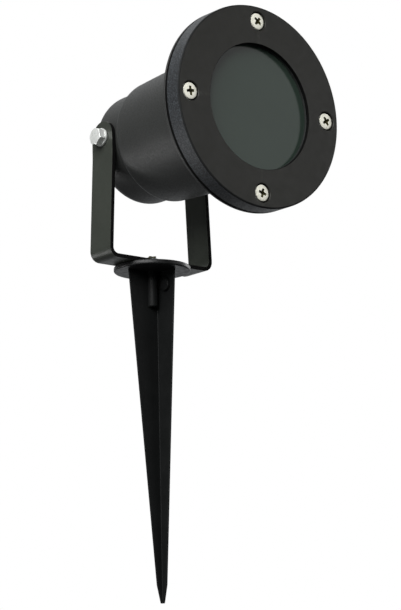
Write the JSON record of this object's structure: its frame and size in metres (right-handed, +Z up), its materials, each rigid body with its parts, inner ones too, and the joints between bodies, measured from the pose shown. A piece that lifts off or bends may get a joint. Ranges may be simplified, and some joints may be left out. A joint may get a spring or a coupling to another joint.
{
  "type": "garden spike spotlight",
  "caption": "Round-bezel spotlight head on a tilting U-shaped strap yoke that swivels on a ground stake with an angle-section blade.",
  "frame": {"origin": "centre of the stake disc's underside, where the soil surface meets it", "axes": "+Z up along the swivel axis, the lamp faces -Y at rest, the tilt pivot runs along X"},
  "size_m": [0.1, 0.1194, 0.28],
  "materials": {
    "stake_plastic": "satin moulded black plastic",
    "zinc_steel": "bright zinc plate",
    "black_powder_coat_steel": "fine satin black powder coat",
    "black_textured_casting": "fine-textured black powder coat on a die casting",
    "black_bezel_paint": "satin black powder coat",
    "stainless_screws": "plain stainless",
    "black_rubber": "matt",
    "grey_rubber": "matt",
    "clear_glass": "polished",
    "lamp_reflector": "bright",
    "ceramic": "glazed white",
    "brass": "plain",
    "terminal_plastic": "natural",
    "live_insulation": "brown sleeve",
    "neutral_insulation": "blue sleeve",
    "earth_insulation": "green and yellow sleeve",
    "gland_plastic": "satin black nylon"
  },
  "bodies": {
    "stake": {"ground_stake": "stake_plastic", "stake_screw": "zinc_steel", "stake_washer": "zinc_steel"},
    "yoke": {"yoke": "black_powder_coat_steel"},
    "head": {"housing": "black_textured_casting", "body_gasket": "black_rubber", "bezel": "black_bezel_paint", "bezel_screws": "stainless_screws", "glass_gasket": "grey_rubber", "front_glass": "clear_glass", "pivot_bolts": "zinc_steel", "pivot_spring_washers": "zinc_steel", "lamp_reflector": "lamp_reflector", "lamp_cover_glass": "clear_glass", "lamp_capsule": "clear_glass", "lamp_base": "ceramic", "lamp_pins": "brass", "lampholder": "ceramic", "holder_contacts": "brass", "holder_bracket": "zinc_steel", "bracket_screws": "zinc_steel", "terminal_block": "terminal_plastic", "terminal_screws": "brass", "live_lead": "live_insulation", "neutral_lead": "neutral_insulation", "earth_lead": "earth_insulation", "earth_screw": "zinc_steel", "gland_body": "gland_plastic", "gland_locknut": "gland_plastic", "gland_seal": "black_rubber", "gland_nut": "gland_plastic"}
  },
  "joints": [
    {"name": "yoke_swivel", "type": "hinge", "parent": "stake", "child": "yoke", "pos_m": [0, 0, 0.0045], "axis": [0, 0, 1], "range_deg": [-180, 180]},
    {"name": "head_tilt", "type": "hinge", "parent": "yoke", "child": "head", "pos_m": [0, 0, 0.065], "axis": [-1, 0, 0], "range_deg": [-15, 90]}
  ]
}
